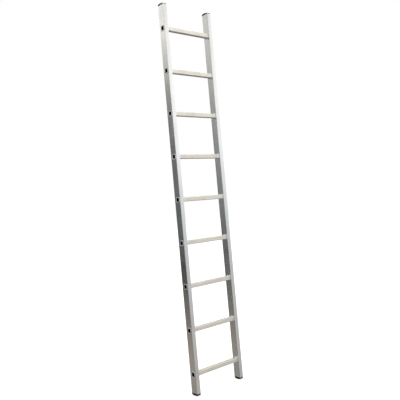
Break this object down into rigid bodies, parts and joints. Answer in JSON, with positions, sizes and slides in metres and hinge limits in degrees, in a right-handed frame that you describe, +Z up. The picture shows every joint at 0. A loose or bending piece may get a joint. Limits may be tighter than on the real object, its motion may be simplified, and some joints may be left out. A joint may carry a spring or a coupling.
{
  "type": "leaning ladder",
  "caption": "Single-section leaning ladder: aluminium box stiles, square rungs rolled into them, moulded caps and rocker feet.",
  "frame": {"origin": "on the floor, at the bottom centre of the ladder's box, midway between the two feet", "axes": "+Z up along the stiles, +X along the rungs to the climber's right, -Y the climber's side; the front of the ladder faces -Y"},
  "size_m": [0.405, 0.06, 2.54],
  "materials": {
    "stile_aluminium": "mill-finish extruded aluminium, satin, with fine lengthwise die lines",
    "rung_aluminium": "mill-finish extruded aluminium, slightly warmer and duller than the stiles, grooved tread",
    "cap_plastic": "black moulded plastic with a soft sheen",
    "foot_plastic": "black moulded non-slip plastic, dull, grooved sole"
  },
  "bodies": {
    "root": {"stile_left": "stile_aluminium", "stile_right": "stile_aluminium", "rung_1": "rung_aluminium", "rung_2": "rung_aluminium", "rung_3": "rung_aluminium", "rung_4": "rung_aluminium", "rung_5": "rung_aluminium", "rung_6": "rung_aluminium", "rung_7": "rung_aluminium", "rung_8": "rung_aluminium", "rung_9": "rung_aluminium", "top_cap_left": "cap_plastic", "top_cap_right": "cap_plastic", "foot_left": "foot_plastic", "foot_right": "foot_plastic"}
  },
  "joints": []
}
